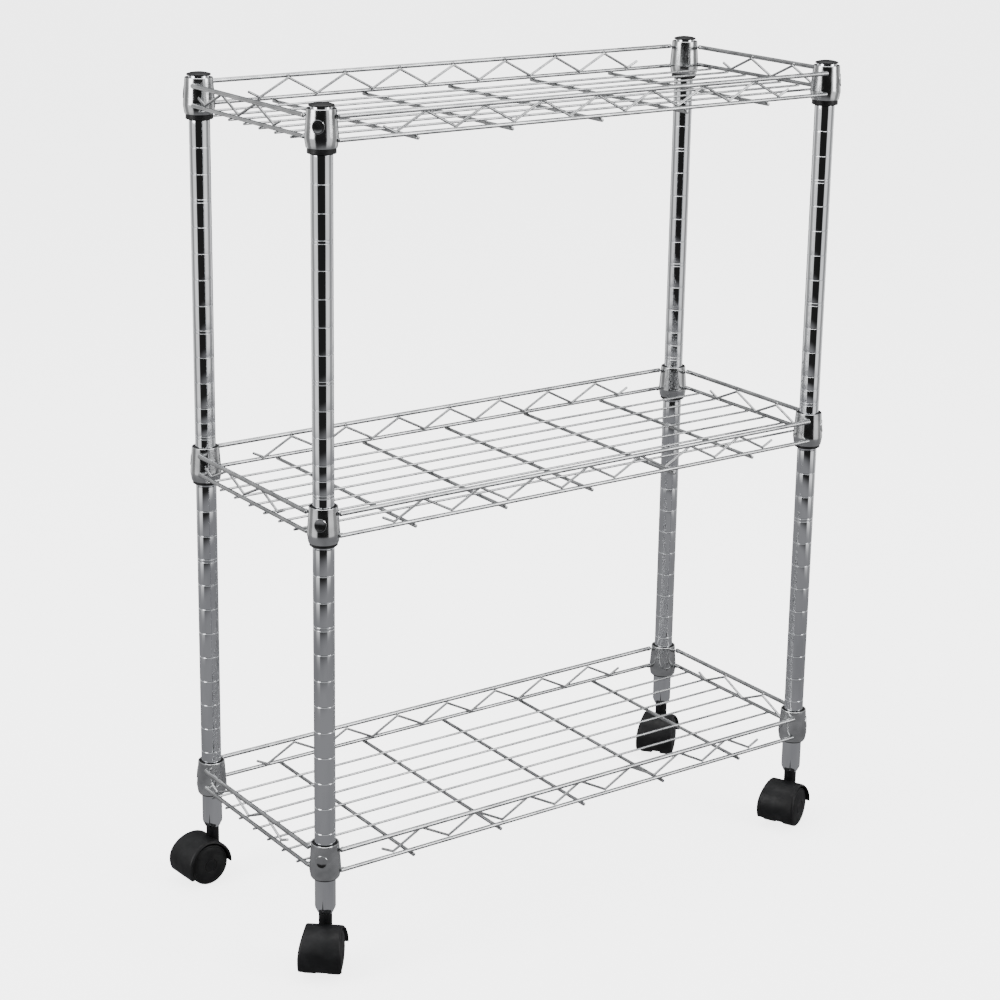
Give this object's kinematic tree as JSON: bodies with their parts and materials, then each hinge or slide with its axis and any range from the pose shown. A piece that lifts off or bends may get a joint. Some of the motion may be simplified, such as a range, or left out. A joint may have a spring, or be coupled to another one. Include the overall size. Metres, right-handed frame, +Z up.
{
  "type": "wire shelving rack",
  "caption": "Mobile three-tier chrome wire shelving rack: grooved posts, height-adjustable welded wire shelves and swivelling twin-wheel casters.",
  "frame": {"origin": "on the floor, under the middle of the four posts", "axes": "+X along the long side, +Y from front to back, +Z up"},
  "size_m": [0.6457, 0.287, 0.82],
  "materials": {
    "post_chrome": "bright mirror chrome plate on steel tube",
    "wire_chrome": "satin chrome plate on drawn wire",
    "collar_chrome": "chrome plate on formed steel",
    "steel_pins": "turned zinc-plated steel",
    "black_plastic": "fine-grained moulded black plastic",
    "caster_plastic": "moulded black nylon, soft sheen",
    "wheel_plastic": "moulded black nylon, matt tread"
  },
  "bodies": {
    "frame": {"post_upper_front_left": "post_chrome", "post_lower_front_left": "post_chrome", "post_upper_front_right": "post_chrome", "post_lower_front_right": "post_chrome", "post_upper_back_left": "post_chrome", "post_lower_back_left": "post_chrome", "post_upper_back_right": "post_chrome", "post_lower_back_right": "post_chrome", "post_couplers": "steel_pins", "post_caps": "black_plastic", "caster_sockets": "black_plastic", "top_shelf_sleeves": "black_plastic", "middle_shelf_sleeves": "black_plastic", "bottom_shelf_sleeves": "black_plastic"},
    "top_shelf": {"top_shelf_collars": "collar_chrome", "top_shelf_front_rails": "wire_chrome", "top_shelf_back_rails": "wire_chrome", "top_shelf_left_rails": "wire_chrome", "top_shelf_right_rails": "wire_chrome", "top_shelf_trusses": "wire_chrome", "top_shelf_cross_wires": "wire_chrome", "top_shelf_deck_wires": "wire_chrome"},
    "middle_shelf": {"middle_shelf_collars": "collar_chrome", "middle_shelf_front_rails": "wire_chrome", "middle_shelf_back_rails": "wire_chrome", "middle_shelf_left_rails": "wire_chrome", "middle_shelf_right_rails": "wire_chrome", "middle_shelf_trusses": "wire_chrome", "middle_shelf_cross_wires": "wire_chrome", "middle_shelf_deck_wires": "wire_chrome"},
    "bottom_shelf": {"bottom_shelf_collars": "collar_chrome", "bottom_shelf_front_rails": "wire_chrome", "bottom_shelf_back_rails": "wire_chrome", "bottom_shelf_left_rails": "wire_chrome", "bottom_shelf_right_rails": "wire_chrome", "bottom_shelf_trusses": "wire_chrome", "bottom_shelf_cross_wires": "wire_chrome", "bottom_shelf_deck_wires": "wire_chrome"},
    "caster_front_left": {"caster_front_left_hood": "caster_plastic", "caster_front_left_stem": "steel_pins", "caster_front_left_axle": "steel_pins"},
    "wheel_front_left_near": {"caster_front_left_near_wheel": "wheel_plastic"},
    "wheel_front_left_far": {"caster_front_left_far_wheel": "wheel_plastic"},
    "caster_front_right": {"caster_front_right_hood": "caster_plastic", "caster_front_right_stem": "steel_pins", "caster_front_right_axle": "steel_pins"},
    "wheel_front_right_near": {"caster_front_right_near_wheel": "wheel_plastic"},
    "wheel_front_right_far": {"caster_front_right_far_wheel": "wheel_plastic"},
    "caster_back_left": {"caster_back_left_hood": "caster_plastic", "caster_back_left_stem": "steel_pins", "caster_back_left_axle": "steel_pins"},
    "wheel_back_left_near": {"caster_back_left_near_wheel": "wheel_plastic"},
    "wheel_back_left_far": {"caster_back_left_far_wheel": "wheel_plastic"},
    "caster_back_right": {"caster_back_right_hood": "caster_plastic", "caster_back_right_stem": "steel_pins", "caster_back_right_axle": "steel_pins"},
    "wheel_back_right_near": {"caster_back_right_near_wheel": "wheel_plastic"},
    "wheel_back_right_far": {"caster_back_right_far_wheel": "wheel_plastic"}
  },
  "joints": [
    {"name": "top_shelf_height", "type": "slide", "parent": "frame", "child": "top_shelf", "axis": [0, 0, 1], "range_m": [0, 0.06]},
    {"name": "middle_shelf_height", "type": "slide", "parent": "frame", "child": "middle_shelf", "axis": [0, 0, 1], "range_m": [0, 0.25]},
    {"name": "bottom_shelf_height", "type": "slide", "parent": "frame", "child": "bottom_shelf", "axis": [0, 0, 1], "range_m": [0, 0.25]},
    {"name": "caster_front_left_swivel", "type": "hinge", "parent": "frame", "child": "caster_front_left", "pos_m": [-0.2921, -0.111, 0.07], "axis": [0, 0, 1], "continuous": true},
    {"name": "wheel_front_left_near_spin", "type": "hinge", "parent": "caster_front_left", "child": "wheel_front_left_near", "pos_m": [-0.30174, -0.12249, 0.021], "axis": [-0.766, 0.6428, 0], "continuous": true},
    {"name": "wheel_front_left_far_spin", "type": "hinge", "parent": "caster_front_left", "child": "wheel_front_left_far", "pos_m": [-0.30174, -0.12249, 0.021], "axis": [-0.766, 0.6428, 0], "continuous": true},
    {"name": "caster_front_right_swivel", "type": "hinge", "parent": "frame", "child": "caster_front_right", "pos_m": [0.2921, -0.111, 0.07], "axis": [0, 0, 1], "continuous": true},
    {"name": "wheel_front_right_near_spin", "type": "hinge", "parent": "caster_front_right", "child": "wheel_front_right_near", "pos_m": [0.27851, -0.11734, 0.021], "axis": [-0.4226, 0.9063, 0], "continuous": true},
    {"name": "wheel_front_right_far_spin", "type": "hinge", "parent": "caster_front_right", "child": "wheel_front_right_far", "pos_m": [0.27851, -0.11734, 0.021], "axis": [-0.4226, 0.9063, 0], "continuous": true},
    {"name": "caster_back_left_swivel", "type": "hinge", "parent": "frame", "child": "caster_back_left", "pos_m": [-0.2921, 0.111, 0.07], "axis": [0, 0, 1], "continuous": true},
    {"name": "wheel_back_left_near_spin", "type": "hinge", "parent": "caster_back_left", "child": "wheel_back_left_near", "pos_m": [-0.30706, 0.10995, 0.021], "axis": [-0.0698, 0.9976, 0], "continuous": true},
    {"name": "wheel_back_left_far_spin", "type": "hinge", "parent": "caster_back_left", "child": "wheel_back_left_far", "pos_m": [-0.30706, 0.10995, 0.021], "axis": [-0.0698, 0.9976, 0], "continuous": true},
    {"name": "caster_back_right_swivel", "type": "hinge", "parent": "frame", "child": "caster_back_right", "pos_m": [0.2921, 0.111, 0.07], "axis": [0, 0, 1], "continuous": true},
    {"name": "wheel_back_right_near_spin", "type": "hinge", "parent": "caster_back_right", "child": "wheel_back_right_near", "pos_m": [0.28061, 0.10136, 0.021], "axis": [-0.6428, 0.766, 0], "continuous": true},
    {"name": "wheel_back_right_far_spin", "type": "hinge", "parent": "caster_back_right", "child": "wheel_back_right_far", "pos_m": [0.28061, 0.10136, 0.021], "axis": [-0.6428, 0.766, 0], "continuous": true}
  ]
}
